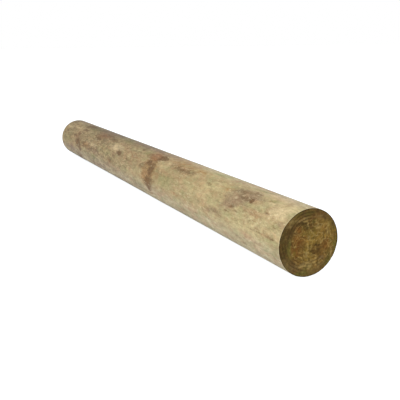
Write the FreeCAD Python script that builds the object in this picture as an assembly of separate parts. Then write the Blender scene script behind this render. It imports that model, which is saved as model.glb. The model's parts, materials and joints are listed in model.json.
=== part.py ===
"""Round pine fence post, peeled, sawn square at both ends and pressure treated, lying on its side.

The post lies along X with its side on the ground from end to end, so its own axis rises a little to its
thick end. That end, the butt, faces +X, and its thin end, the top, faces -X. The origin is on the ground
under the middle of the post, and +Z is up. Lengths are in millimetres and angles in degrees.

The pieces are made about the post's own axis, which starts out on X, and are then laid on the ground.

A branch grew out from the pith at each knot, so a knot is a body of wood of its own, set in the stem.
While the branch lived it thickened as the stem did, which makes the inner part of a knot a cone. Once it
had died the stem closed round a stub of one thickness, so the outer part is a cylinder.
"""

import FreeCAD
import Part
import math
import os

LENGTH = 1800.0
BUTT_RADIUS = 82.0
TOP_RADIUS = 78.0
ARRIS = 1.5  # width of the rubbed edge round each sawn end

BUTT_X = LENGTH / 2
TOP_X = -LENGTH / 2
MIDDLE_RADIUS = (BUTT_RADIUS + TOP_RADIUS) / 2
TAPER_ANGLE = math.atan((BUTT_RADIUS - TOP_RADIUS) / LENGTH)  # in radians

KNOT_START = 15.0  # from the pith to where a knot's own wood begins
DEAD_FROM = 0.7  # share of the way out at which the branch had died
KNOT_LEAN = 15.0  # how far a branch leans towards the top of the tree
BRANCH_REACH = 1.4  # a branch is drawn this share of its way out, past the surface that trims it flush

# Each whorl is a ring of branches that grew in one year, named with its distance from the butt. Each knot
# in it has an offset from that distance, an angle and a radius. Angles are seen from the butt: 0 points
# along +Y, and 90 points up.
WHORLS = {
    "lower": (
        190.0,
        [
            (10, 38, 8.0),
            (-18, 127, 7.0),
            (15, 255, 6.0),
            (5, 320, 9.0),
        ],
    ),
    "middle": (
        770.0,
        [
            (2, 30, 11.0),
            (-20, 112, 11.0),
            (30, 137, 8.0),
            (-5, 152, 9.0),
            (-5, 196, 9.0),
            (8, 254, 11.0),
            (-14, 318, 12.0),
        ],
    ),
    "upper": (
        1575.0,
        [
            (10, 22, 8.0),
            (-35, 94, 8.0),
            (-15, 168, 10.0),
            (-5, 222, 9.0),
            (5, 290, 10.0),
        ],
    ),
}
PIN_KNOT = (1069.0, 146, 5.5)  # one twig between whorls: its distance from the butt, angle and radius


def stem_radius(x):
    """Radius of the tapered stem at x along its axis."""
    return MIDDLE_RADIUS + math.tan(TAPER_ANGLE) * x


def turned(profile, base, direction):
    """Solid turned from a profile of (distance along, radius) points that starts and ends on its axis."""
    points = [FreeCAD.Vector(along, radius, 0) for along, radius in profile]
    face = Part.Face(Part.makePolygon(points + points[:1]))
    solid = face.revolve(FreeCAD.Vector(0, 0, 0), FreeCAD.Vector(1, 0, 0), 360)
    turn = FreeCAD.Rotation(FreeCAD.Vector(1, 0, 0), direction)
    solid.Placement = FreeCAD.Placement(base, turn)
    return solid


def whole_stem():
    """The tapered stem with both ends sawn square and their edges rubbed, before the knots are let in."""
    profile = [
        (TOP_X, 0),
        (TOP_X, TOP_RADIUS - ARRIS),
        (TOP_X + ARRIS, stem_radius(TOP_X + ARRIS)),
        (BUTT_X - ARRIS, stem_radius(BUTT_X - ARRIS)),
        (BUTT_X, BUTT_RADIUS - ARRIS),
        (BUTT_X, 0),
    ]
    return turned(profile, FreeCAD.Vector(0, 0, 0), FreeCAD.Vector(1, 0, 0))


def branch(from_butt, angle, radius):
    """A branch that leaves the stem at this distance and angle, from near the pith to past the surface."""
    x = BUTT_X - from_butt
    lean = math.radians(KNOT_LEAN)
    turn = math.radians(angle)
    way_out = stem_radius(x) / math.cos(lean)
    pith_x = x + way_out * math.sin(lean)
    direction = FreeCAD.Vector(
        -math.sin(lean),
        math.cos(lean) * math.cos(turn),
        math.cos(lean) * math.sin(turn),
    )
    died_at = DEAD_FROM * way_out
    profile = [
        (KNOT_START, 0),
        (KNOT_START, radius * KNOT_START / died_at),
        (died_at, radius),
        (BRANCH_REACH * way_out, radius),
        (BRANCH_REACH * way_out, 0),
    ]
    return turned(profile, FreeCAD.Vector(pith_x, 0, 0), direction)


def knot_places():
    """Every knot's name, with its distance from the butt, angle and radius."""
    places = {}
    for whorl, (from_butt, ring) in WHORLS.items():
        for number, (offset, angle, radius) in enumerate(ring, start=1):
            places[f"{whorl}_knot_{number}"] = (from_butt + offset, angle, radius)
    places["pin_knot"] = PIN_KNOT
    return places


def laid_down(shape):
    """The shape moved from the post's own axis to where the post lies, with its whole side on the ground."""
    dip = FreeCAD.Rotation(FreeCAD.Vector(0, 1, 0), -math.degrees(TAPER_ANGLE))
    rise = FreeCAD.Vector(0, 0, MIDDLE_RADIUS * math.cos(TAPER_ANGLE))
    laid = shape.copy()
    laid.Placement = FreeCAD.Placement(rise, dip).multiply(shape.Placement)
    return laid


def build():
    """Every piece of the post by name. Each knot is trimmed flush and fits its pocket face to face."""
    stem = whole_stem()
    pieces = {name: stem.common(branch(*place)) for name, place in knot_places().items()}
    pieces["stem"] = stem.cut(list(pieces.values()))
    return {name: laid_down(piece) for name, piece in pieces.items()}


def main():
    os.makedirs("parts", exist_ok=True)
    for name, shape in build().items():
        solids = shape.Solids
        if len(solids) != 1 or not solids[0].isValid():
            raise ValueError(f"{name} isn't one valid solid")
        solids[0].exportStep(f"parts/{name}.step")
        print(f"{name}: {solids[0].Volume / 1000:.1f} cm3")


main()
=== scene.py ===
"""The looks of a round, peeled and treated pine fence post that lies on a pale studio floor.

The post's own axes are used throughout: x runs along the stem from its middle to the butt, y is the row's
+Y, z is up and square to x, and an angle is measured from y towards z. Lengths are in metres.
"""

import json
import math

import bpy
import numpy as np
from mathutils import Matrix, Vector, noise


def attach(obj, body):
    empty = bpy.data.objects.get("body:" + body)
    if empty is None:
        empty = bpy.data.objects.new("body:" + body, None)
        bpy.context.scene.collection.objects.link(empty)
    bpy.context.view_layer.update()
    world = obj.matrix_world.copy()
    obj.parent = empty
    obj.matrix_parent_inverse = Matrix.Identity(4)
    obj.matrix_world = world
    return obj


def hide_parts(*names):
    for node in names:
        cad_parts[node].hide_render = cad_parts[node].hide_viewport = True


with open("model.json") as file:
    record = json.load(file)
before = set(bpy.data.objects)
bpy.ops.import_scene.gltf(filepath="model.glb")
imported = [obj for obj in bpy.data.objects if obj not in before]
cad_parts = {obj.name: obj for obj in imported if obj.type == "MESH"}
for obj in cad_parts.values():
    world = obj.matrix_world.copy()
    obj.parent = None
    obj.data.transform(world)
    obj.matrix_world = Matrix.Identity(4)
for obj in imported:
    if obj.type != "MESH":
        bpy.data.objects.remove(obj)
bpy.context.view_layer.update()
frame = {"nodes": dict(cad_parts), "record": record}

MM = 0.001
NODES = frame["nodes"]
BODY = "root"


# -------------------- the stem's own axes and size

def mount(name):
    """A mount's place and axis in the row frame."""
    found = next(m for m in frame["record"]["mounts"] if m["name"] == name)
    return Vector(found["pos_m"]), Vector(found["axis"]).normalized()


BUTT_CENTRE, ALONG = mount("butt_end")
TOP_CENTRE, _ = mount("top_end")
ACROSS = Vector((0, 1, 0))
UP = ALONG.cross(ACROSS)
MIDDLE = (BUTT_CENTRE + TOP_CENTRE) / 2
HALF_LENGTH = (BUTT_CENTRE - TOP_CENTRE).length / 2
# The post lies on its side, so the centre of each end is one radius above the ground.
BUTT_RADIUS = BUTT_CENTRE.z
TOP_RADIUS = TOP_CENTRE.z
AXES = np.array([ALONG, ACROSS, UP])
PITH = (3 * MM, 6 * MM)  # the pith's place in the section, in y and z


def own(points):
    """Points in the row frame, in the post's own axes."""
    return (np.asarray(points) - np.array(MIDDLE)) @ AXES.T


def row(points):
    """Points in the post's own axes, in the row frame."""
    return np.asarray(points) @ AXES + np.array(MIDDLE)


def nominal_radius(x):
    """Radius of the tapered stem at x."""
    share = (x + HALF_LENGTH) / (2 * HALF_LENGTH)
    return TOP_RADIUS + (BUTT_RADIUS - TOP_RADIUS) * share


def round_axis(points):
    """The angle of each point round the post's axis, and its distance from it."""
    y, z = points[:, 1], points[:, 2]
    return np.arctan2(z, y), np.hypot(y, z)


def half_turn(angle):
    """The same angle or angles, brought between -pi and pi."""
    return (angle + math.pi) % (2 * math.pi) - math.pi


def circle(count):
    """Angles spread evenly round a circle."""
    return np.linspace(0, 2 * math.pi, count, endpoint=False)


def perlin(points, along, across, seed=0.0):
    """Smooth noise from -1 to 1 at each point, with its waves per metre along and across the stem."""
    scaled = np.asarray(points) * np.array([along, across, across], float) + seed
    return np.fromiter((noise.noise(p) for p in scaled.tolist()), float, len(scaled))


def smooth_step(low, high, value):
    """0 at low and 1 at high, with a smooth change between them. Low may be the larger of the two."""
    t = np.clip((value - low) / (high - low), 0, 1)
    return t * t * (3 - 2 * t)


def band(edges, value):
    """1 inside a band, given as where it starts, is full, begins to fade and ends."""
    start, full, fade, end = edges
    return smooth_step(start, full, value) * smooth_step(end, fade, value)


def vectors(items, kind):
    """One vector for each of a mesh's vertices or faces."""
    flat = np.empty(len(items) * 3)
    items.foreach_get(kind, flat)
    return flat.reshape(-1, 3)


def get_points(mesh):
    return vectors(mesh.vertices, "co")


def set_points(mesh, points):
    mesh.vertices.foreach_set("co", np.asarray(points).ravel())
    mesh.update()


# -------------------- knots, as the CAD model has them

class Knot:
    """Where a CAD knot is and how it's shaped, read from its mesh."""

    TIP_WITHIN = 0.3  # share of the stem's radius within which a point is at the knot's inner tip
    FACE_BEYOND = 0.985  # and the share beyond which it's on the knot's face
    TIP_DEPTH = 2 * MM
    WIDEST = 98  # the percentile of the points' distances from the axis that stands for the radius
    FULL_WIDTH = 0.97  # share of the radius from which the knot counts as straight
    GRAIN_STRETCH = 2.0  # a knot changes the wood this much further along the grain than across it

    def __init__(self, name):
        points = own(get_points(NODES[name].data))
        radius = round_axis(points)[1]
        surface = nominal_radius(points[:, 0])
        inner = points[radius < self.TIP_WITHIN * surface].mean(0)
        outer_points = points[radius > self.FACE_BEYOND * surface]
        outer = (outer_points.min(0) + outer_points.max(0)) / 2
        self.name = name
        self.inner = inner
        self.direction = (outer - inner) / np.linalg.norm(outer - inner)
        along = (points - inner) @ self.direction
        away = np.linalg.norm(points - inner - np.outer(along, self.direction), axis=1)
        self.radius = float(np.percentile(away, self.WIDEST))
        self.tip_radius = float(away[along < self.TIP_DEPTH].max())
        self.straight_from = float(along[away > self.FULL_WIDTH * self.radius].min())
        self.reach = float(along.max())
        self.x = float(outer[0])
        self.angle = math.atan2(outer[2], outer[1])

    def offset(self, x, angle):
        """How far points on the surface are from the knot's middle, along the stem and round it."""
        return x - self.x, half_turn(angle - self.angle) * nominal_radius(self.x)

    def nearness(self, x, angle, spread, stretch=GRAIN_STRETCH):
        """1 at the knot's middle, falling away over a spread given in knot radii."""
        along, around = self.offset(x, angle)
        return np.exp(-((along / stretch) ** 2 + around**2) / (2 * (spread * self.radius) ** 2))

    def sideways(self):
        """Two directions square to the knot's own."""
        first = np.cross(self.direction, (1.0, 0.0, 0.0))
        first /= np.linalg.norm(first)
        return first, np.cross(self.direction, first)

    def spokes(self, turn):
        """Directions square to the knot's own, one for each turn round it."""
        first, second = self.sideways()
        return np.outer(np.cos(turn), first) + np.outer(np.sin(turn), second)


KNOTS = [Knot(name) for name in sorted(NODES) if "knot" in name]


# -------------------- relief of the peeled surface

# Each layer of relief: its height either way, its waves per metre along and across the stem, and its seed.
OUT_OF_ROUND = (0.45 * MM, 1.5, 9, 3.1)
FLATS = (0.30 * MM, 9, 42, 7.7)
FIBRES = (0.14 * MM, 12, 190, 1.3)
BROAD_RELIEF = OUT_OF_ROUND[0] + FLATS[0]
KNOT_SWELL = 0.9 * MM
SWELL_SPREAD = 1.6  # in knot radii
LEAST_INSET = 0.05 * MM  # how far the surface always stays inside the CAD stem


def surface_radius(x, angle):
    """Radius of the real, uneven surface. It never stands outside the CAD stem, nor below the ground."""
    nominal = nominal_radius(x)
    ring = np.stack([x, nominal * np.cos(angle), nominal * np.sin(angle)], 1)
    layers = (OUT_OF_ROUND, FLATS, FIBRES)
    inset = BROAD_RELIEF + sum(height * perlin(ring, *waves) for height, *waves in layers)
    for knot in KNOTS:
        inset -= KNOT_SWELL * knot.nearness(x, angle, SWELL_SPREAD)
    return nominal - np.maximum(inset, LEAST_INSET)


def grid_mesh(name, rings, closing):
    """A closed mesh from rings of points, each joined to the next, with a point to close it at each end."""
    count, around = len(rings), len(rings[0])
    points = np.concatenate([np.concatenate(rings), np.array(closing)])
    index = np.arange(count * around).reshape(count, around)
    near, far = index[:-1], index[1:]
    quads = np.stack([near, np.roll(near, -1, 1), np.roll(far, -1, 1), far], -1).reshape(-1, 4)
    start, end = count * around, count * around + 1
    first, last = index[0], index[-1]
    fan = [(start, b, a) for a, b in zip(first, np.roll(first, -1))]
    fan += [(end, a, b) for a, b in zip(last, np.roll(last, -1))]
    mesh = bpy.data.meshes.new(name)
    mesh.from_pydata(points.tolist(), [], quads.tolist() + [tuple(map(int, f)) for f in fan])
    mesh.update()
    return mesh


def new_object(name, data):
    thing = bpy.data.objects.new(name, data)
    bpy.context.scene.collection.objects.link(thing)
    return thing


# -------------------- the stem

COLUMNS = 208  # points round the stem
STEM_ROWS = 360
END_RINGS = 32
EDGE_ROWS = np.array([0.0, 0.25, 0.6, 1.0, 1.6, 2.4, 3.4, 5.0, 7.5]) * MM  # rows near an end, from the end

# The worn edge of a sawn end, in millimetres.
RUBBED = 1.1
RUBBED_VARIES = 0.5
CHIP_DEPTH = 3.0
CHIPS_ABOVE = 0.42  # the noise has to rise above this to make a chip
WEAR_LIMITS = (0.5, 3.2)

SAW_LEAN = 24  # degrees that the saw's marks lean left of upright, as each end is looked at
SAW_PITCH = 7.0 * MM
SAW_SWAY = 2.5  # how far the marks wander either way, in radians of their pitch
SAW_DEPTH = 0.10 * MM
RAISED_RING_WIDTH = 7.5 * MM
RAISED_RING_HEIGHT = 0.08 * MM
END_UNEVENNESS = 0.35 * MM
FLUSH_FROM = 0.93  # share of the radius from which an end's relief fades, to nothing at the edge


def edge_wear(angle, end):
    """Depth of the rubbed and chipped edge of one sawn end, all the way round."""
    circle = np.stack([np.full_like(angle, 10.0 * end), np.cos(angle), np.sin(angle)], 1)
    rubbed = RUBBED + RUBBED_VARIES * perlin(circle, 1, 5, 2.0)
    chips = CHIP_DEPTH * np.clip(perlin(circle, 1, 9, 5.5) - CHIPS_ABOVE, 0, 1) / (1 - CHIPS_ABOVE)
    return np.clip(rubbed + chips, *WEAR_LIMITS) * MM


def end_relief(y, z, end):
    """How deep the saw and drying left each point of an end face."""
    flat = np.stack([np.full_like(y, 3.0 * end), y, z], 1)
    lean = math.radians(SAW_LEAN) * end
    stroke = y * math.cos(lean) + z * math.sin(lean)
    sway = SAW_SWAY * perlin(flat, 1, 20)
    blade = 0.5 + 0.5 * np.sin(2 * math.pi * stroke / SAW_PITCH + sway)
    rings = 0.5 + 0.5 * np.sin(2 * math.pi * np.hypot(y, z) / RAISED_RING_WIDTH)
    broad = 0.5 + 0.5 * perlin(flat, 1, 28, 9.0)
    return SAW_DEPTH * blade + RAISED_RING_HEIGHT * rings + END_UNEVENNESS * broad


def stem_rings():
    """Rings of points from the centre of the top end, along the side, to the centre of the butt end."""
    angle = circle(COLUMNS)
    cos, sin = np.cos(angle), np.sin(angle)
    inner = HALF_LENGTH - EDGE_ROWS[-1]
    side = np.concatenate([
        -HALF_LENGTH + EDGE_ROWS,
        np.linspace(-inner, inner, STEM_ROWS)[1:-1],
        HALF_LENGTH - EDGE_ROWS[::-1],
    ])
    walls = []
    for x in side:
        radius = surface_radius(np.full(COLUMNS, x), angle)
        end = 1 if x > 0 else -1
        from_end = HALF_LENGTH - abs(x)
        wear = edge_wear(angle, end)
        radius -= wear * np.clip(1 - from_end / wear, 0, 1) ** 2
        walls.append(np.stack([np.full(COLUMNS, x), radius * cos, radius * sin], 1))
    faces = {}
    for end, rim in ((-1, walls[0]), (1, walls[-1])):
        shares = np.linspace(0, 1, END_RINGS + 1)[1:-1]
        rings = []
        for share in shares:
            y, z = rim[:, 1] * share, rim[:, 2] * share
            depth = end_relief(y, z, end) * smooth_step(1.0, FLUSH_FROM, share)
            x = end * (HALF_LENGTH - depth)
            rings.append(np.stack([x, y, z], 1))
        faces[end] = rings
    return faces[-1] + walls + faces[1][::-1]


def wedge_mesh(name, stations):
    """A thin closed wedge from stations along a crack: two outer corners and one inner edge at each."""
    rings = [np.array(s) for s in stations]
    return grid_mesh(name, rings, [rings[0].mean(0), rings[-1].mean(0)])


SIDE_STATIONS = 40
SIDE_WANDER = 0.035  # how far a check strays either way, in radians
SIDE_CHECK_LEAST = (0.06 * MM, 0.8 * MM)  # its least half-width and depth
CHECK_OVERLAP = 2 * MM  # how far a cutter stands out of the wood that it cuts
END_STATIONS = 24
END_WANDER = 0.05
END_CHECK_LEAST = (0.05 * MM, 1 * MM)
END_OVERLAP = 1 * MM


def side_check(from_butt, length, angle, drift, width, depth, seed):
    """A drying crack along the stem's side, widest in the middle and wandering with the grain."""
    stations = []
    least_half, least_depth = SIDE_CHECK_LEAST
    for share in np.linspace(0, 1, SIDE_STATIONS):
        x = HALF_LENGTH - from_butt - length * share
        wander = noise.noise((x * 9, seed, 0.0)) * SIDE_WANDER
        turn = math.radians(angle + drift * share) + wander
        open_share = math.sin(math.pi * share) ** 0.7 * (0.75 + 0.25 * noise.noise((x * 30, seed, 5.0)))
        radius = nominal_radius(x)
        half = max(width * open_share / 2, least_half) / radius
        low = radius - max(depth * open_share, least_depth)
        high = radius + CHECK_OVERLAP
        stations.append([
            (x, high * math.cos(turn - half), high * math.sin(turn - half)),
            (x, high * math.cos(turn + half), high * math.sin(turn + half)),
            (x, low * math.cos(turn), low * math.sin(turn)),
        ])
    return wedge_mesh("side_check", stations)


def end_check(end, start, reach, angle, width, depth, seed):
    """A drying crack across an end face, from near the pith outwards."""
    stations = []
    least_half, least_depth = END_CHECK_LEAST
    open_x = end * (HALF_LENGTH + END_OVERLAP)
    for share in np.linspace(0, 1, END_STATIONS):
        out = start + (reach - start) * share
        turn = math.radians(angle) + noise.noise((out * 60, seed, 2.0)) * END_WANDER
        half = max(width * (1 - share) ** 0.8 * min(1, share * 8 + 0.2) / 2, least_half)
        y, z = PITH[0] + out * math.cos(turn), PITH[1] + out * math.sin(turn)
        side_y, side_z = -math.sin(turn) * half, math.cos(turn) * half
        deep_x = end * (HALF_LENGTH - max(depth * (1 - share), least_depth))
        corners = [(open_x, y - side_y, z - side_z), (open_x, y + side_y, z + side_z), (deep_x, y, z)]
        stations.append(corners[:: end])
    return wedge_mesh("end_check", stations)


POCKET_GAP = 0.3 * MM
POCKET_BEYOND = 8 * MM  # how far the pocket's cutter stands out past the knot
POCKET_COLUMNS = 40


def knot_hole(knot):
    """The pocket that a knot leaves in the stem, a hair wider than the knot."""
    reach = knot.reach + POCKET_BEYOND
    profile = [
        (-POCKET_GAP, knot.tip_radius + POCKET_GAP),
        (knot.straight_from, knot.radius + POCKET_GAP),
        (reach, knot.radius + POCKET_GAP),
    ]
    spokes = knot.spokes(circle(POCKET_COLUMNS))
    rings = [knot.inner + knot.direction * along + radius * spokes for along, radius in profile]
    ends = [knot.inner - knot.direction * POCKET_GAP, knot.inner + knot.direction * reach]
    return grid_mesh("knot_hole", rings, ends)


SIDE_CHECKS = [
    # distance from the butt, length, angle, drift in degrees, width and depth
    (0.055, 0.62, 262, 6, 2.4 * MM, 15 * MM),
    (0.90, 0.48, 287, -5, 2.0 * MM, 12 * MM),
    (1.22, 0.50, 62, 4, 1.6 * MM, 9 * MM),
    (0.30, 0.34, 12, -3, 1.5 * MM, 8 * MM),
]
END_CHECKS = [
    # end (1 is the butt and -1 the top), start and reach from the pith, angle, width and depth
    (1, 1 * MM, 38 * MM, 268, 1.1 * MM, 30 * MM),
    (1, 2 * MM, 30 * MM, 35, 0.9 * MM, 25 * MM),
    (1, 2 * MM, 33 * MM, 152, 0.8 * MM, 25 * MM),
    (-1, 1 * MM, 44 * MM, 80, 1.4 * MM, 35 * MM),
    (-1, 2 * MM, 36 * MM, 205, 1.2 * MM, 30 * MM),
    (-1, 2 * MM, 28 * MM, 318, 1.0 * MM, 25 * MM),
]
CHECK_SEEDS_APART = 4.0


def joined(name, meshes):
    """One object made of several meshes."""
    points, faces, start = [], [], 0
    for mesh in meshes:
        points += [tuple(v.co) for v in mesh.vertices]
        faces += [[start + i for i in p.vertices] for p in mesh.polygons]
        start += len(mesh.vertices)
    mesh = bpy.data.meshes.new(name)
    mesh.from_pydata(points, [], faces)
    mesh.update()
    return new_object(name, mesh)


def outward(mesh):
    """Turns a closed mesh's faces outwards where they face in, judged by its volume."""
    mesh.calc_loop_triangles()
    p = get_points(mesh)
    tris = np.array([t.vertices for t in mesh.loop_triangles])
    a, b, c = p[tris[:, 0]], p[tris[:, 1]], p[tris[:, 2]]
    if np.einsum("ij,ij->", a, np.cross(b, c)) < 0:
        mesh.flip_normals()
    return mesh


def cut_out(thing, cutters):
    """Takes the cutters' space out of the object."""
    cutter = joined("cutter", [outward(m) for m in cutters])
    cut = thing.modifiers.new("cut", "BOOLEAN")
    cut.operation = "DIFFERENCE"
    cut.solver = "MANIFOLD"
    cut.object = cutter
    graph = bpy.context.evaluated_depsgraph_get()
    result = bpy.data.meshes.new_from_object(thing.evaluated_get(graph))
    result.materials.clear()
    thing.modifiers.clear()
    thing.data = result
    bpy.data.objects.remove(cutter)


def make_stem():
    """The stem, with its knots' pockets and its drying checks cut out of it."""
    rings = stem_rings()
    centres = []
    for end in (-1, 1):
        relief = end_relief(np.zeros(1), np.zeros(1), end)[0]
        centres.append((end * (HALF_LENGTH - relief), 0.0, 0.0))
    mesh = outward(grid_mesh("peeled_stem", rings, centres))
    stem = new_object("peeled_stem", mesh)
    cutters = [knot_hole(knot) for knot in KNOTS]
    for make_check, checks in ((side_check, SIDE_CHECKS), (end_check, END_CHECKS)):
        cutters += [make_check(*check, seed=CHECK_SEEDS_APART * i) for i, check in enumerate(checks)]
    cut_out(stem, cutters)
    return stem


# -------------------- what colours the wood, point by point

# Each stain: its kind, distance from the butt, angle in degrees, half-length, half-width round the stem and
# strength. Here lengths are in millimetres.
STAINS = [
    # the resinous wood of the middle whorl, in broken patches from knot to knot
    ("brown", 742, 111, 20, 7, 1.3),
    ("brown", 734, 112, 10, 4, 1.0),
    ("rust", 786, 118, 24, 9, 1.6),
    ("rust", 815, 113, 30, 13, 1.2),
    ("brown", 808, 137, 16, 7, 1.0),
    ("brown", 764, 147, 14, 18, 0.9),
    ("gold", 790, 145, 34, 26, 1.1),
    ("gold", 795, 170, 30, 16, 0.5),
    ("brown", 784, 179, 20, 10, 0.9),
    ("green", 845, 203, 26, 10, 1.1),
    ("brown", 742, 172, 8, 6, 0.7),
    ("brown", 762, 186, 20, 10, 0.8),
    ("pale", 790, 199, 70, 8, 0.7),
    ("grey", 870, 86, 100, 14, 0.8),
    ("grey", 770, 97, 60, 10, 0.7),
    ("brown", 850, 150, 20, 14, 0.7),
    ("gold", 718, 155, 24, 18, 0.5),
    # small marks between the middle whorl and the pin knot
    ("green", 875, 115, 30, 9, 0.9),
    ("brown", 928, 110, 14, 4, 0.8),
    ("brown", 985, 152, 12, 4, 0.7),
    ("grey", 985, 87, 70, 10, 1.1),
    ("rust", 960, 135, 50, 16, 0.5),
    ("grey", 985, 168, 70, 12, 0.5),
    ("pale", 1000, 205, 30, 7, 0.8),
    ("grey", 860, 206, 50, 8, 0.8),
    # the pin knot and the pale streak above it
    ("brown", 1072, 146, 24, 7, 1.2),
    ("pale", 1120, 134, 40, 9, 1.7),
    ("green", 1085, 104, 35, 10, 1.0),
    ("green", 1125, 92, 34, 10, 1.2),
    ("rust", 1145, 178, 30, 7, 0.8),
    # between the pin knot and the upper whorl
    ("brown", 1198, 118, 24, 6, 1.1),
    ("grey", 1310, 106, 60, 14, 1.4),
    ("rust", 1300, 113, 50, 12, 0.9),
    ("brown", 1340, 131, 32, 7, 1.1),
    ("rust", 1350, 124, 40, 8, 0.8),
    ("grey", 1375, 90, 40, 12, 1.3),
    ("grey", 1250, 86, 60, 8, 0.9),
    ("green", 1460, 101, 45, 13, 1.6),
    ("green", 1340, 187, 40, 12, 0.9),
    ("pale", 1365, 155, 36, 6, 1.0),
    ("grey", 1340, 171, 90, 10, 1.0),
    ("gold", 1450, 165, 50, 8, 1.1),
    ("pale", 1240, 194, 30, 5, 0.6),
    ("grey", 1270, 208, 70, 9, 0.9),
    ("green", 1230, 158, 60, 16, 0.6),
    # the upper whorl: a dark arc over the knots, and a streak down from the largest
    ("brown", 1535, 95, 26, 9, 1.3),
    ("brown", 1566, 104, 18, 10, 0.9),
    ("brown", 1576, 141, 14, 6, 0.9),
    ("brown", 1550, 164, 22, 10, 1.0),
    ("brown", 1533, 177, 16, 8, 1.3),
    ("brown", 1524, 189, 14, 8, 1.0),
    ("brown", 1552, 212, 22, 8, 1.1),
    ("rust", 1580, 160, 50, 20, 0.6),
    ("brown", 1620, 149, 24, 6, 0.9),
    ("brown", 1532, 122, 22, 5, 1.1),
    ("pale", 1640, 124, 40, 5, 0.7),
    ("pale", 1750, 130, 36, 6, 0.9),
    ("grey", 1640, 196, 70, 14, 0.9),
    ("grey", 1770, 105, 30, 16, 0.8),
    ("rust", 1690, 112, 35, 6, 0.8),
    ("green", 1715, 166, 45, 18, 1.0),
    # from the middle whorl down to the lower one
    ("green", 640, 160, 50, 18, 0.8),
    ("gold", 600, 105, 60, 16, 0.7),
    ("brown", 630, 122, 34, 9, 0.62),
    ("rust", 590, 120, 60, 14, 0.45),
    ("brown", 575, 124, 26, 10, 0.55),
    ("brown", 525, 121, 24, 8, 0.62),
    ("gold", 480, 107, 35, 9, 0.8),
    ("rust", 570, 178, 30, 9, 0.6),
    ("pale", 680, 124, 12, 10, 0.6),
    ("green", 410, 91, 30, 8, 1.0),
    ("brown", 395, 128, 14, 5, 0.5),
    ("rust", 440, 195, 35, 6, 0.5),
    ("grey", 335, 176, 40, 9, 0.5),
    ("gold", 305, 124, 22, 6, 0.9),
    ("green", 330, 112, 50, 10, 0.6),
    ("green", 385, 190, 30, 8, 0.7),
    # the cloudy patch by the lower whorl
    ("grey", 224, 121, 36, 17, 1.6),
    ("brown", 208, 126, 17, 7, 0.8),
    ("grey", 188, 115, 28, 10, 1.3),
    ("brown", 235, 114, 18, 6, 0.8),
    ("brown", 195, 109, 12, 4, 0.7),
    ("grey", 258, 146, 28, 13, 1.2),
    ("brown", 236, 150, 12, 4, 0.8),
    ("brown", 215, 156, 10, 2, 1.0),
    ("brown", 250, 162, 12, 2, 0.9),
    ("grey", 300, 168, 26, 10, 0.6),
    # towards the butt
    ("rust", 255, 191, 28, 4, 0.5),
    ("rust", 115, 192, 20, 6, 0.6),
    ("rust", 100, 150, 30, 10, 0.4),
    ("pale", 50, 124, 30, 14, 1.0),
    ("pale", 75, 98, 60, 22, 0.4),
    ("pale", 90, 141, 60, 18, 0.3),
    ("pale", 90, 191, 60, 18, 0.4),
    ("pale", 140, 90, 50, 16, 0.25),
    ("green", 95, 107, 22, 8, 1.0),
    ("green", 180, 92, 28, 8, 0.8),
    ("green", 32, 150, 12, 6, 0.8),
    ("green", 25, 200, 16, 10, 0.8),
    ("brown", 80, 137, 12, 3, 0.8),
    ("brown", 108, 172, 20, 2, 0.8),
    ("brown", 30, 172, 22, 3, 0.8),
    ("grey", 22, 144, 10, 6, 0.9),
    ("speckle", 50, 140, 50, 40, 1.1),
    ("speckle", 150, 158, 60, 14, 0.8),
    ("speckle", 180, 118, 40, 20, 0.8),
    ("speckle", 350, 150, 50, 24, 0.5),
    ("speckle", 780, 150, 40, 50, 0.35),
]
# Each stain on a sawn end: its kind, place and half-size in y and z in millimetres, and strength.
BUTT_STAINS = [
    ("brown", -69, 6, 10, 36, 1.4),
    ("brown", -48, 28, 12, 12, 0.8),
    ("brown", -22, 48, 22, 4, 1.1),
    ("brown", -5, 38, 8, 5, 1.0),
    ("brown", 27, 40, 10, 3, 1.0),
    ("brown", 20, -20, 14, 4, 0.7),
    ("brown", 24, -8, 12, 2, 0.7),
    ("brown", 10, 72, 32, 6, 0.7),
    ("brown", 30, -58, 14, 5, 0.7),
    ("brown", -20, -40, 10, 6, 0.6),
    ("rust", -32, -4, 8, 18, 1.2),
    ("rust", 51, -10, 9, 11, 1.1),
    ("rust", -30, 33, 16, 12, 0.7),
    ("gold", 22, 14, 20, 13, 1.2),
    ("gold", -2, -14, 10, 14, 0.8),
    ("gold", 34, 44, 13, 6, 0.9),
    ("gold", -4, -36, 20, 7, 0.9),
    ("gold", 60, 20, 10, 22, 0.6),
    ("pale", -28, 56, 22, 3, 0.8),
    ("pale", -55, 46, 8, 4, 0.6),
    ("pale", 20, 61, 20, 2, 0.6),
    ("pale", -18, -52, 6, 3, 1.2),
    ("pale", 4, -55, 5, 4, 1.0),
    ("pale", 2, -54, 30, 14, 0.45),
    ("pale", -1, 13, 3, 4, 1.0),
    ("pale", -6, -26, 3, 6, 0.8),
    ("pale", 63, -32, 2, 10, 1.3),
    ("pale", 51, 26, 3, 14, 0.8),
    ("grey", 37, -40, 7, 3, 1.3),
    ("grey", -48, -52, 12, 8, 0.9),
    ("grey", -66, -34, 6, 12, 0.7),
    ("green", 74, -18, 5, 18, 1.3),
    ("green", -20, -71, 14, 4, 1.4),
    ("green", -53, -2, 3, 20, 1.3),
    ("green", -4, 71, 12, 5, 0.9),
    ("green", 55, -55, 8, 6, 0.9),
    ("green", 12, 50, 8, 5, 0.7),
]
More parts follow.
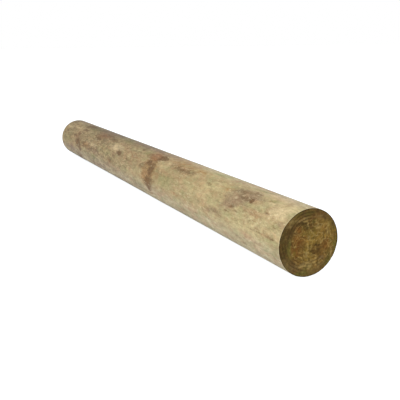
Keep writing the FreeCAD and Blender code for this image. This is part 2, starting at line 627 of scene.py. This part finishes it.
TOP_STAINS = [
    ("brown", 52, 30, 16, 30, 1.2),
    ("brown", -20, -55, 30, 6, 1.0),
    ("brown", -12, 36, 12, 6, 0.9),
    ("rust", 22, -12, 8, 16, 1.1),
    ("rust", -34, 2, 7, 12, 0.8),
    ("gold", -10, 10, 18, 14, 1.1),
    ("gold", 12, -34, 16, 8, 0.8),
    ("pale", 10, -46, 12, 3, 1.0),
    ("pale", -22, 54, 16, 3, 0.9),
    ("grey", -48, 22, 8, 10, 1.0),
    ("green", 4, 68, 26, 5, 1.3),
    ("green", -66, -14, 5, 22, 1.2),
]
END_STAINS = {1: BUTT_STAINS, -1: TOP_STAINS}
STAIN_KINDS = ("brown", "rust", "grey", "pale", "green", "gold", "speckle")
# Stains that go all the way round: the kind, distance from the butt, half-length and strength.
WHORL_BANDS = [("brown", 768, 14, 0.28), ("gold", 785, 30, 0.45), ("brown", 1566, 14, 0.12)]
KNOT_STAIN = 0.60  # strength of the brown stain round every knot
KNOT_STAIN_STRETCH = 1.5
END_SKIN = 1.2 * MM  # how far from an end a point still counts as on its sawn face


def stain_masks(p):
    """How strongly each kind of stain covers each point."""
    from_butt = (HALF_LENGTH - p[:, 0]) / MM
    angle = round_axis(p)[0]
    masks = {kind: np.zeros(len(p)) for kind in STAIN_KINDS}
    for kind, place, degrees, half_length, half_width, strength in STAINS:
        turn = half_turn(angle - math.radians(degrees))
        around = turn * nominal_radius(HALF_LENGTH - place * MM) / MM
        distance = ((from_butt - place) / half_length) ** 2 + (around / half_width) ** 2
        masks[kind] += strength * np.exp(-distance / 2)
    for kind, place, half_length, strength in WHORL_BANDS:
        masks[kind] += strength * np.exp(-(((from_butt - place) / half_length) ** 2) / 2)
    for knot in KNOTS:
        masks["brown"] += KNOT_STAIN * knot.nearness(p[:, 0], angle, 1.0, KNOT_STAIN_STRETCH)
    for end, stains in END_STAINS.items():
        on_end = end * p[:, 0] > HALF_LENGTH - END_SKIN
        for kind in STAIN_KINDS:
            masks[kind][on_end] = 0.0
        for kind, y, z, half_y, half_z, strength in stains:
            distance = ((p[:, 1] / MM - y) / half_y) ** 2 + ((p[:, 2] / MM - z) / half_z) ** 2
            masks[kind] += np.where(on_end, strength * np.exp(-distance / 2), 0.0)
    return masks


# Bands round the stem in degrees: where each starts, is full, begins to fade and ends.
LOW_SIDE = (172, 202, 260, 310)
HIGH_SIDE = (20, 50, 82, 112)
UPPER_SIDE = (20, 50, 98, 128)
# Painted shade: the underside, where less light reaches, is painted darker and a little bluer.
UNDER_SHADE_SIDE = (209, 225, 305, 335)
THIN_HALF = (0.72, 1.05, 1.50, 1.70)  # the same along the stem, in metres from the butt
# Painted sheen: a grey-blue reflection of the white surroundings, painted on the lower side and along the
# top of the stem.
LOW_SHEEN = 0.71
FIRST_SHEEN = 0.57  # how strong the painted sheen on the high side is before its topmost strip
TOP_STRIP = (98, 78)  # degrees over which its painted sheen becomes full


def sheen_and_under_shade(p):
    """How much painted sheen and how much painted shade of the underside each point gets, each from 0 to 1.
    """
    degrees = np.degrees(round_axis(p)[0]) % 360
    upward = FIRST_SHEEN + (1 - FIRST_SHEEN) * smooth_step(*TOP_STRIP, degrees)
    silvered = np.maximum(LOW_SHEEN * band(LOW_SIDE, degrees), upward * band(HIGH_SIDE, degrees))
    return silvered, band(UNDER_SHADE_SIDE, degrees)


def upper_shade_share(p):
    """How much painted shade each point gets, from 0 to 1: the upper side of the thin half gets it."""
    degrees = np.degrees(round_axis(p)[0]) % 360
    return band(UPPER_SIDE, degrees) * band(THIN_HALF, HALF_LENGTH - p[:, 0])


# How knots lead the fibres round them. Both spreads are in knot radii.
FIBRE_SHIFT = 0.7
SHIFT_SPREAD = 1.3
FIBRE_BULGE = 1.1
BULGE_SPREAD = 1.9
LED_FROM = (0.3, 0.9)  # shares of the radius over which this builds up


def grain(p):
    """The wood's own coordinates, with the fibres led round each knot, and how far its rings bulge out."""
    angle, radius = round_axis(p)
    shift = np.zeros(len(p))
    bulge = np.zeros(len(p))
    for knot in KNOTS:
        around = knot.offset(p[:, 0], angle)[1]
        shift -= FIBRE_SHIFT * around * knot.nearness(p[:, 0], angle, SHIFT_SPREAD)
        bulge += FIBRE_BULGE * knot.radius * knot.nearness(p[:, 0], angle, BULGE_SPREAD)
    depth_share = smooth_step(*LED_FROM, radius / nominal_radius(p[:, 0]))
    turned = angle + shift * depth_share / nominal_radius(p[:, 0])
    along_grain = np.stack([p[:, 0], radius * np.cos(turned), radius * np.sin(turned)], 1)
    return along_grain, bulge * depth_share


def describe(mesh, **attributes):
    """Gives a mesh these values or vectors, one for each of its points."""
    for name, values in attributes.items():
        kind, field = ("FLOAT", "value") if values.ndim == 1 else ("FLOAT_VECTOR", "vector")
        layer = mesh.attributes.new(name, kind, "POINT")
        layer.data.foreach_set(field, values.ravel())


def describe_sheen_and_under_shade(mesh):
    silvered, damp = sheen_and_under_shade(get_points(mesh))
    describe(mesh, silvered=silvered, damp=damp)


DEEPER_THAN_WEAR = 6 * MM
MOST_STAIN = 1.5


def describe_stem(mesh):
    """Gives each point of the stem what its materials need to know."""
    p = get_points(mesh)
    along_grain, bulge = grain(p)
    describe(mesh, place=p, grain=along_grain, bulge=bulge)
    describe_sheen_and_under_shade(mesh)
    stains = {kind: np.clip(mask, 0, MOST_STAIN) for kind, mask in stain_masks(p).items()}
    describe(mesh, mouldy=upper_shade_share(p), **stains)
    radius = round_axis(p)[1]
    from_end = HALF_LENGTH - np.abs(p[:, 0])
    inset = nominal_radius(p[:, 0]) - radius
    # Only a crack's wall is set in further than the worn edge, so its painted shade starts right from an
    # end face.
    depth = np.where(inset > DEEPER_THAN_WEAR, inset, np.minimum(inset, from_end))
    rim = radius / nominal_radius(p[:, 0])
    toward_top = 0.5 - p[:, 0] / (2 * HALF_LENGTH)
    describe(mesh, depth=depth, from_end=from_end, rim=rim, toward_top=toward_top)


FACES_END = 0.72  # a face of a sawn end points at least this much along the stem
STEM_CORNER = 38  # degrees from which an edge of the stem stays sharp


def mark_faces(mesh):
    """Material 0 on the side and 1 on the sawn ends, all smooth but for real corners."""
    along = vectors(mesh.polygons, "normal")[:, 0]
    x = vectors(mesh.polygons, "center")[:, 0]
    at_end = HALF_LENGTH - np.abs(x) < END_SKIN
    index = (at_end & (np.abs(along) > FACES_END)).astype(np.int32)
    mesh.polygons.foreach_set("material_index", index)
    mesh.shade_smooth()
    mesh.set_sharp_from_angle(angle=math.radians(STEM_CORNER))


# -------------------- knots as pieces of branch wood

CAP_RINGS = 13
CAP_COLUMNS = 56
FIT_STEPS = 6  # rounds it takes to bring a knot's face to the stem's surface
BODY_ROWS = (12, 5, 2, 0.8)  # rows of the branch below its rim, in millimetres
OUT_OF_TRUE = 0.02  # share by which a knot's outline strays from a circle
KNOT_SEEDS_APART = 1.3
KNOT_CORNER = 50  # degrees from which an edge of a knot stays sharp

# How deep each part of a knot's relief is, in millimetres.
SUNK_RIM = 0.35
CAP_RING = 0.10
STAR_CRACK = 0.9
# Where each part of it is, in shares of the knot's radius and in radians.
RIM_FROM = 0.86
RING_TURNS = 22  # radians of wave from the knot's middle to its edge
STAR_ARMS = 3
ARM_APART = 2.1
ARM_ASTRAY = 0.9
ARM_BEND = 0.25
ARM_HALF_WIDTH = 0.09
ARM_FADES = (0.95, 0.5)


def cap_relief(share, turn, seed):
    """How far a knot's worn face stands below the surface round it: rings, a sunken rim and star cracks."""
    rim = SUNK_RIM * smooth_step(RIM_FROM, 1.0, share)
    rings = CAP_RING * (0.5 + 0.5 * np.sin(share * RING_TURNS + seed))
    star = np.zeros_like(share)
    for arm in range(STAR_ARMS):
        line = ARM_APART * arm + ARM_ASTRAY * math.sin(seed * 1.7 + arm)
        line = line + ARM_BEND * np.sin(share * 5 + seed)
        off = np.abs(half_turn(turn - line)) * share
        crack = np.clip(1 - off / ARM_HALF_WIDTH, 0, 1) * smooth_step(*ARM_FADES, share)
        star = np.maximum(star, crack)
    return (rim + rings + STAR_CRACK * star) * MM


def knot_mesh(knot, seed):
    """One knot: a worn face that follows the stem's surface, and the body of the branch inside it."""
    turn = circle(CAP_COLUMNS)
    spokes = knot.spokes(turn)
    outline = 1 + OUT_OF_TRUE * np.sin(3 * turn + seed)
    cap = []
    for share in [*np.linspace(0, 1, CAP_RINGS)[1:], 0.0]:
        offset = spokes * (share * knot.radius * outline)[:, None] if share else spokes[:1] * 0
        angles = turn if share else turn[:1]
        reach = np.full(len(offset), knot.reach)
        for _ in range(FIT_STEPS):
            p = knot.inner + offset + np.outer(reach, knot.direction)
            angle, radius = round_axis(p)
            goal = surface_radius(p[:, 0], angle) - cap_relief(np.full(len(p), share), angles, seed)
            reach += goal - radius
        cap.append(knot.inner + offset + np.outer(reach, knot.direction))
    rim_reach = (cap[-2] - knot.inner) @ knot.direction
    body = []
    for along, radius in ((0.0, knot.tip_radius), (knot.straight_from, knot.radius)):
        body.append(knot.inner + knot.direction * along + spokes * radius)
    for below in BODY_ROWS:
        reach = (rim_reach - below * MM)[:, None] * knot.direction
        body.append(knot.inner + reach + spokes * knot.radius * outline[:, None])
    rings = body + cap[-2::-1]
    return grid_mesh(knot.name + "_wood", rings, [knot.inner, cap[-1][0]])


def make_knot(knot, seed):
    """One knot with what its material needs to know at each point."""
    mesh = outward(knot_mesh(knot, seed))
    p = get_points(mesh)
    along = (p - knot.inner) @ knot.direction
    away = p - knot.inner - np.outer(along, knot.direction)
    first, second = knot.sideways()
    branch = np.stack([along, away @ first, away @ second], 1)
    describe(mesh, branch=branch, share=np.linalg.norm(away, axis=1) / knot.radius)
    describe_sheen_and_under_shade(mesh)
    mesh.shade_smooth()
    mesh.set_sharp_from_angle(angle=math.radians(KNOT_CORNER))
    return new_object(knot.name + "_wood", mesh)


# -------------------- materials

def paint(red, green, blue):
    """A colour given in sRGB steps of 0 to 255, as the shader takes it."""
    def linear(step):
        value = step / 255
        return value / 12.92 if value <= 0.04045 else ((value + 0.055) / 1.055) ** 2.4
    return (linear(red), linear(green), linear(blue), 1.0)


class Shader:
    """A short way to write one material's nodes."""

    def __init__(self, name):
        self.material = bpy.data.materials.new(name)
        self.material.use_nodes = True
        self.tree = self.material.node_tree
        self.tree.nodes.clear()

    def add(self, kind, inputs=(), **settings):
        node = self.tree.nodes.new(kind)
        for key, value in settings.items():
            setattr(node, key, value)
        for key, value in dict(inputs).items():
            if isinstance(value, bpy.types.NodeSocket):
                self.tree.links.new(value, node.inputs[key])
            else:
                node.inputs[key].default_value = value
        return node

    def attribute(self, name, output="Fac"):
        return self.add("ShaderNodeAttribute", attribute_name=name).outputs[output]

    def math(self, operation, first, second=0.0, third=0.0, clamp=False):
        inputs = {0: first, 1: second, 2: third}
        return self.add("ShaderNodeMath", inputs, operation=operation, use_clamp=clamp).outputs[0]

    def times(self, first, second):
        return self.math("MULTIPLY", first, second)

    def vector(self, operation, first, second=(0.0, 0.0, 0.0), output=0):
        inputs = {0: first, 1: second}
        return self.add("ShaderNodeVectorMath", inputs, operation=operation).outputs[output]

    def noise(self, at, along, across, up=None, detail=2.0, rough=0.5, warp=0.0, seed=0.0):
        """Noise from 0 to 1 with its waves per metre along and across the stem, or also up it."""
        moved = self.vector("MULTIPLY", at, (along, across, up or across))
        moved = self.vector("ADD", moved, (seed, seed * 0.7, -seed))
        inputs = {"Vector": moved, "Scale": 1.0, "Detail": detail, "Roughness": rough, "Distortion": warp}
        return self.add("ShaderNodeTexNoise", inputs).outputs["Fac"]

    def ease(self, value, low, high, start=0.0, end=1.0):
        """Start where the value is low and end where it's high, with a smooth change between them."""
        inputs = {"Value": value, "From Min": low, "From Max": high, "To Min": start, "To Max": end}
        return self.add("ShaderNodeMapRange", inputs, interpolation_type="SMOOTHSTEP").outputs["Result"]

    def mix(self, share, first, second):
        """The first colour at a share of 0, and the second at 1."""
        inputs = {0: share, 6: first, 7: second}
        return self.add("ShaderNodeMix", inputs, data_type="RGBA").outputs[2]

    def tint(self, colour, amount):
        """The colour made darker or lighter by an amount round 1."""
        return self.add("ShaderNodeVectorMath", {0: colour, "Scale": amount}, operation="SCALE").outputs[0]

    def finish(self, colour, roughness, height, distance, shine=0.2):
        bump = self.add("ShaderNodeBump", {"Height": height, "Distance": distance, "Strength": 1.0})
        inputs = {"Base Color": colour, "Roughness": roughness, "Normal": bump.outputs[0]}
        inputs["Specular IOR Level"] = shine
        return self.output(self.add("ShaderNodeBsdfPrincipled", inputs))

    def output(self, surface):
        end = self.add("ShaderNodeOutputMaterial")
        self.tree.links.new(surface.outputs[0], end.inputs[0])
        return self.material


def ring_phase(s, wander, width):
    """Which part of a year each point grew in: 0 is the spring wood and 1 the dark autumn wood."""
    at = s.attribute("grain", "Vector")
    from_pith = s.vector("SUBTRACT", at, (0.0, PITH[0], PITH[1]))
    flat = s.vector("MULTIPLY", from_pith, (0.0, 1.0, 1.0))
    radius = s.vector("LENGTH", flat, output="Value")
    radius = s.math("SUBTRACT", radius, s.attribute("bulge"))
    bent = s.noise(at, 1.4, 10, detail=2, seed=4)
    radius = s.math("MULTIPLY_ADD", bent, wander, radius)
    years = s.math("DIVIDE", radius, width)
    part = s.math("FRACT", years)
    rise = s.ease(part, 0.45, 0.86)
    fall = s.ease(part, 0.90, 1.0, 1.0, 0.0)
    return s.times(rise, fall)


def cover(s, colour, kind, tone, along, across, seed, amount):
    """Lays a stain over the colour in cloudy patches, which its mask makes fuller."""
    at = s.attribute("place", "Vector")
    cloud = s.noise(at, along, across, detail=5, rough=0.68, warp=0.5, seed=seed)
    level = s.math("MULTIPLY_ADD", s.attribute(kind), 0.45, cloud)
    share = s.times(s.ease(level, 0.54, 1.00), amount)
    return s.mix(share, colour, tone)


def drift(s, colour, tone, along, across, seed, amount):
    """Lets the colour wander towards a tone from place to place."""
    at = s.attribute("place", "Vector")
    cloud = s.noise(at, along, across, detail=4, rough=0.62, warp=0.6, seed=seed)
    share = s.times(s.ease(cloud, 0.44, 0.66), amount)
    return s.mix(share, colour, tone)


def stained(s, colour, drifts, covers):
    """The colour with the tones that it drifts towards, and then its stains in order."""
    for tone, *cloud in drifts:
        colour = drift(s, colour, paint(*tone), *cloud)
    for kind, tone, *cloud in covers:
        colour = cover(s, colour, kind, paint(*tone), *cloud)
    return colour


def tufts(s, along, across, seed, amount):
    """Small ragged patches of torn fibre, as thick in some places as they're thin in others."""
    at = s.attribute("place", "Vector")
    ragged = s.noise(at, along, across, detail=5, rough=0.70, warp=0.15, seed=seed)
    patchy = s.noise(at, 0.3 * along, 0.3 * across, detail=2, seed=seed + 5)
    share = s.times(s.ease(ragged, 0.52, 0.68), s.ease(patchy, 0.34, 0.60))
    return s.times(share, amount)


def specks(s, colour, dark, pale):
    """Small crisp marks, dark and pale, where the speckle mask is strong."""
    at = s.attribute("place", "Vector")
    dots = s.noise(at, 90, 150, detail=4, rough=0.68, warp=0.2, seed=91)
    strength = s.attribute("speckle")
    dark_dots = s.times(s.ease(dots, 0.57, 0.66), strength)
    pale_dots = s.times(s.ease(dots, 0.43, 0.34), strength)
    colour = s.mix(s.math("MULTIPLY", dark_dots, 0.30, clamp=True), colour, dark)
    return s.mix(s.math("MULTIPLY", pale_dots, 0.34, clamp=True), colour, pale)


# What the full painted sheen and the full painted shade of the underside multiply the wood's red, green and
# blue by.
SHEEN_TINT = (1.00, 1.07, 1.34)
UNDER_SHADE_TINT = (0.80, 0.84, 0.90)


def with_sheen_and_under_shade(s, colour):
    """The colour with a painted grey-blue sheen on its lower side and top, and painted shade on its
    underside.
    """
    # Painted sheen.
    colour = s.mix(s.attribute("silvered"), colour, s.vector("MULTIPLY", colour, SHEEN_TINT))
    # Painted shade on the underside.
    return s.mix(s.attribute("damp"), colour, s.vector("MULTIPLY", colour, UNDER_SHADE_TINT))


PEELED_DARK = paint(165, 149, 109)
PEELED_PALE = paint(180, 164, 121)
AUTUMN_WOOD = paint(136, 110, 70)
TORN_DARK = paint(100, 74, 44)
TORN_PALE = paint(208, 194, 154)
SPECK_DARK = paint(96, 72, 44)
SPECK_PALE = paint(222, 211, 172)
TOP_END_TONE = paint(106, 84, 66)
# Painted shade for the upper side of the thin half.
UPPER_SHADE_TONE = paint(92, 80, 58)
FRAYED = paint(200, 186, 148)
CRACK_SHADE = paint(58, 42, 26)
# Each tone that the side drifts towards: its paint, waves per metre, seed and amount.
SIDE_DRIFTS = [
    ((142, 141, 98), 9, 26, 101, 0.45),
    ((164, 126, 94), 11, 30, 113, 0.42),
    ((130, 128, 84), 30, 62, 127, 0.34),
    ((150, 112, 80), 34, 66, 139, 0.34),
]
# Each kind of stain on it, lowest first: its name, paint, waves per metre, seed and amount.
SIDE_COVERS = [
    ("green", (126, 126, 78), 16, 40, 11, 0.62),
    ("grey", (122, 101, 80), 26, 58, 23, 0.62),
    ("gold", (144, 104, 58), 44, 90, 67, 0.62),
    ("rust", (130, 80, 48), 34, 90, 31, 0.58),
    ("pale", (206, 186, 144), 30, 76, 43, 0.66),
    ("brown", (88, 60, 30), 62, 130, 57, 0.74),
]
SIDE_YEARS = (9 * MM, 8.5 * MM)  # how far the yearly rings wander, and how wide they are
FRAY = 4 * MM
CRACK_DEPTHS = (2.2 * MM, 5 * MM)  # where painted shade in a drying check begins, and where it's darkest


def side_material():
    s = Shader("peeled_side")
    at = s.attribute("grain", "Vector")
    late = ring_phase(s, *SIDE_YEARS)
    broad = s.noise(at, 5, 16, detail=3, seed=1)
    colour = s.mix(s.ease(broad, 0.35, 0.65), PEELED_DARK, PEELED_PALE)
    colour = s.mix(s.times(late, 0.20), colour, AUTUMN_WOOD)
    colour = stained(s, colour, SIDE_DRIFTS, SIDE_COVERS)
    mottle = s.noise(at, 22, 46, detail=5, rough=0.72, warp=1.0, seed=13)
    colour = s.tint(colour, s.ease(mottle, 0.30, 0.70, 0.86, 1.12))
    flecks = s.noise(at, 80, 150, detail=4, rough=0.72, warp=0.8, seed=8)
    colour = s.tint(colour, s.ease(flecks, 0.3, 0.7, 0.85, 1.13))
    colour = s.mix(tufts(s, 30, 90, 71, 0.40), colour, TORN_DARK)
    colour = s.mix(tufts(s, 34, 100, 83, 0.40), colour, TORN_PALE)
    colour = specks(s, colour, SPECK_DARK, SPECK_PALE)
    older = s.ease(s.attribute("toward_top"), 0.25, 0.75)
    cloudy = s.noise(at, 30, 84, detail=4, rough=0.7, warp=1.0, seed=53)
    cloudy = s.ease(cloudy, 0.32, 0.68, -0.38, 0.34)
    colour = s.tint(colour, s.math("MULTIPLY_ADD", cloudy, older, 1.0))
    fibres = s.noise(at, 9, 620, detail=3, rough=0.6, seed=3)
    colour = s.tint(colour, s.ease(fibres, 0.25, 0.75, 0.92, 1.06))
    # The side is mixed darker and greyer towards the top end.
    toward_top_share = s.ease(s.attribute("toward_top"), 0.15, 0.80)
    colour = s.mix(s.times(toward_top_share, 0.38), colour, TOP_END_TONE)
    # Painted shade, in clouds, on the upper side of the thin half.
    mould = s.noise(s.attribute("place", "Vector"), 14, 60, detail=4, rough=0.65, warp=0.6, seed=47)
    mould = s.times(s.ease(mould, 0.34, 0.60, 0.25, 1.0), s.attribute("mouldy"))
    colour = s.mix(s.times(mould, 0.42), colour, UPPER_SHADE_TONE)
    colour = with_sheen_and_under_shade(s, colour)
    frayed = s.ease(s.attribute("from_end"), 0.0, FRAY, 0.45, 0.0)
    colour = s.mix(frayed, colour, FRAYED)
    # Painted shade inside the drying checks, darker the deeper the wall lies.
    crack = s.ease(s.attribute("depth"), *CRACK_DEPTHS)
    colour = s.mix(crack, colour, CRACK_SHADE)
    rough = s.ease(fibres, 0.2, 0.8, 0.92, 0.74)
    height = s.math("ADD", fibres, s.times(flecks, 0.8))
    height = s.math("MULTIPLY_ADD", late, 0.5, height)
    return s.finish(colour, rough, height, 0.35 * MM)


CORE_DARK = paint(87, 64, 28)
CORE_PALE = paint(118, 91, 43)
OUTER_DARK = paint(81, 62, 32)
OUTER_PALE = paint(98, 77, 41)
FUZZ_DARK = paint(56, 40, 12)
FUZZ_PALE = paint(150, 126, 70)
CURLED_FIBRES = paint(152, 128, 76)
END_AUTUMN_WOOD = paint(52, 38, 12)
GRIMY_EDGE = paint(44, 36, 20)
# The same for the sawn ends.
END_DRIFTS = [
    ((90, 86, 30), 1, 30, 151, 0.45),
    ((108, 70, 28), 1, 34, 163, 0.40),
]
END_COVERS = [
    ("green", (88, 84, 34), 1, 60, 11, 0.60),
    ("grey", (96, 78, 54), 1, 70, 23, 0.62),
    ("gold", (130, 103, 44), 1, 64, 67, 0.55),
    ("rust", (104, 60, 22), 1, 90, 31, 0.52),
    ("brown", (58, 44, 20), 1, 70, 57, 0.60),
    ("pale", (140, 120, 74), 1, 110, 43, 0.62),
]
END_YEARS = (15 * MM, 7.6 * MM)
CORE_CENTRE = (0.0, 9.5 * MM, -3 * MM)
CORE_EDGE = (59 * MM, 76 * MM)  # from its centre, where the rough core begins to give way and has ended
CORE_WANDER = 14 * MM
OUTER_ROUGHNESS = 0.35  # how marked the wood outside the core is, as a share of the core's marks


def end_material():
    s = Shader("sawn_end")
    at = s.attribute("grain", "Vector")
    late = ring_phase(s, *END_YEARS)
    rim = s.attribute("rim")
    blotch = s.noise(at, 1, 38, detail=4, rough=0.65, warp=0.8, seed=2)
    core = s.mix(s.ease(blotch, 0.36, 0.64), CORE_DARK, CORE_PALE)
    outer = s.mix(s.ease(blotch, 0.35, 0.65), OUTER_DARK, OUTER_PALE)
    flat = s.vector("MULTIPLY", s.vector("SUBTRACT", at, CORE_CENTRE), (0.0, 1.0, 1.0))
    from_core = s.vector("LENGTH", flat, output="Value")
    wander = s.noise(at, 1, 26, detail=3, seed=6)
    from_core = s.math("MULTIPLY_ADD", wander, CORE_WANDER, from_core)
    in_core = s.ease(from_core, *CORE_EDGE, 1.0, 0.0)
    marked = s.math("MULTIPLY_ADD", in_core, 1 - OUTER_ROUGHNESS, OUTER_ROUGHNESS)
    colour = s.mix(in_core, outer, core)
    colour = stained(s, colour, END_DRIFTS, END_COVERS)
    cells = s.noise(at, 1, 56, detail=2, rough=0.5, warp=1.0, seed=37)
    cells = s.times(s.ease(cells, 0.32, 0.68, -0.22, 0.22), marked)
    colour = s.tint(colour, s.math("ADD", cells, 1.0))
    for across, seed, amount, tone in ((74, 17, 0.65, FUZZ_DARK), (80, 19, 0.75, FUZZ_PALE)):
        fuzz = s.times(tufts(s, 1, across, seed, amount), marked)
        colour = s.mix(fuzz, colour, tone)
    curl = s.noise(at, 1, 42, detail=1, rough=0.4, warp=1.2, seed=71)
    curl = s.math("ABSOLUTE", s.math("SUBTRACT", curl, 0.5))
    curl = s.times(s.ease(curl, 0.010, 0.045, 0.45, 0.0), in_core)
    colour = s.mix(curl, colour, CURLED_FIBRES)
    clear = s.ease(s.noise(at, 1, 17, detail=2, seed=14), 0.40, 0.60, 0.08, 1.0)
    seen = s.times(s.ease(rim, 0.30, 0.75, 0.24, 0.68), clear)
    colour = s.mix(s.times(late, seen), colour, END_AUTUMN_WOOD)
    grit = s.noise(at, 1, 170, detail=4, rough=0.75, seed=9)
    colour = s.tint(colour, s.ease(grit, 0.3, 0.7, 0.78, 1.22))
    saw = s.noise(at, 1, 30, 420, detail=2, seed=5)
    colour = s.tint(colour, s.ease(saw, 0.3, 0.7, 0.93, 1.06))
    colour = s.mix(s.ease(rim, 0.950, 0.99, 0.0, 0.60), colour, GRIMY_EDGE)
    height = s.math("MULTIPLY_ADD", saw, 0.8, grit)
    height = s.math("MULTIPLY_ADD", late, 0.5, height)
    return s.finish(colour, 0.9, height, 0.4 * MM, shine=0.08)


KNOT_DARK = paint(106, 80, 50)
KNOT_PALE = paint(134, 106, 70)
KNOT_AUTUMN_WOOD = paint(78, 54, 32)
KNOT_PITH = paint(66, 40, 24)
KNOT_EDGE = paint(66, 46, 30)
KNOT_YEARS = 6.5  # rings from a knot's pith to its edge
RING_WANDER = 1.2  # in rings


def knot_material():
    s = Shader("branch_wood")
    at = s.attribute("branch", "Vector")
    share = s.attribute("share")
    bent = s.noise(at, 20, 120, detail=2, seed=1)
    years = s.math("MULTIPLY_ADD", bent, RING_WANDER, s.times(share, KNOT_YEARS))
    late = s.ease(s.math("FRACT", years), 0.4, 0.95)
    blotch = s.noise(at, 60, 160, detail=4, rough=0.65, seed=3)
    colour = s.mix(s.ease(blotch, 0.35, 0.65), KNOT_DARK, KNOT_PALE)
    colour = s.mix(s.times(late, 0.5), colour, KNOT_AUTUMN_WOOD)
    colour = s.mix(s.ease(share, 0.30, 0.02, 0.0, 0.6), colour, KNOT_PITH)
    colour = s.mix(s.ease(share, 0.80, 0.98, 0.0, 0.6), colour, KNOT_EDGE)
    grit = s.noise(at, 300, 300, detail=3, seed=5)
    colour = s.tint(colour, s.ease(grit, 0.3, 0.7, 0.88, 1.12))
    colour = with_sheen_and_under_shade(s, colour)
    height = s.math("MULTIPLY_ADD", late, 0.6, grit)
    return s.finish(colour, s.ease(blotch, 0.3, 0.7, 0.62, 0.8), height, 0.3 * MM)


# -------------------- the pieces

def add_piece(piece, node, slot, *materials):
    """Paints a piece, lays it in the row frame and puts it in its CAD node's place."""
    for material in materials:
        piece.data.materials.append(material)
    set_points(piece.data, row(get_points(piece.data)))
    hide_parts(node)
    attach(piece, BODY)


stem = make_stem()
describe_stem(stem.data)
mark_faces(stem.data)
add_piece(stem, "stem", "treated_pine", side_material(), end_material())

branch_wood = knot_material()
for number, knot in enumerate(KNOTS):
    add_piece(make_knot(knot, KNOT_SEEDS_APART * number), knot.name, "knot_wood", branch_wood)


# -------------------- studio

FLOOR_SIZE = 40.0
FLOOR_TONE = (0.30, 0.32, 0.35, 1)
GLOW_TONE = (0.952, 0.975, 1, 1)
FLOOR_GLOW = 0.91
WORLD_STRENGTH = 1.0
# Each softbox, a square that faces the near half of the post: its name, place, size and power in watts.
SOFTBOXES = [
    ("front_softbox", (1.5, -2.6, 1.5), 2.0, 30),
    ("top_softbox", (0.6, -0.4, 4.0), 4.0, 8),
    ("back_softbox", (0.70, 0.55, 0.95), 0.8, 2.6),
]
LIGHT_AIM = Vector((0.5, 0, 0.05))


def floor_material():
    """A slightly cool panel that glows by itself, so the post casts next to no shadow on it."""
    s = Shader("studio_floor")
    inputs = {"Base Color": FLOOR_TONE, "Roughness": 0.9, "Specular IOR Level": 0.1}
    inputs["Emission Color"] = GLOW_TONE
    inputs["Emission Strength"] = FLOOR_GLOW
    return s.output(s.add("ShaderNodeBsdfPrincipled", inputs))


def make_floor():
    half = FLOOR_SIZE / 2
    mesh = bpy.data.meshes.new("studio_floor")
    corners = [(-half, -half, 0), (half, -half, 0), (half, half, 0), (-half, half, 0)]
    mesh.from_pydata(corners, [], [(0, 1, 2, 3)])
    mesh.materials.append(floor_material())
    floor = new_object("studio_floor", mesh)


def add_softbox(name, place, size, power):
    light = bpy.data.lights.new(name, "AREA")
    light.shape = "SQUARE"
    light.size = size
    light.energy = power
    lamp = new_object(name, light)
    lamp.location = place
    lamp.rotation_euler = (LIGHT_AIM - Vector(place)).to_track_quat("-Z", "Y").to_euler()


def light_studio():
    world = bpy.data.worlds.new("studio")
    world.use_nodes = True
    background = world.node_tree.nodes["Background"].inputs
    background["Color"].default_value = (1, 1, 1, 1)
    background["Strength"].default_value = WORLD_STRENGTH
    bpy.context.scene.world = world
    for softbox in SOFTBOXES:
        add_softbox(*softbox)


CAMERA_FROM_BUTT = Vector((1.1828, -0.8712, 0.4653))
CAMERA_AZIMUTH = 63.34  # degrees that the camera is turned round z from looking along +Y
CAMERA_ELEVATION = 14.13  # degrees that it looks down
CAMERA_LENS = 60.07  # in millimetres, as its sensor is
CAMERA_SENSOR = 36.0


def place_camera():
    camera = bpy.data.cameras.new("camera")
    camera.lens = CAMERA_LENS
    camera.sensor_width = CAMERA_SENSOR
    holder = new_object("camera", camera)
    holder.location = BUTT_CENTRE + CAMERA_FROM_BUTT
    holder.rotation_euler = (math.radians(90 - CAMERA_ELEVATION), 0, math.radians(CAMERA_AZIMUTH))
    bpy.context.scene.camera = holder


make_floor()
light_studio()
place_camera()
bpy.context.scene.view_settings.view_transform = "Standard"
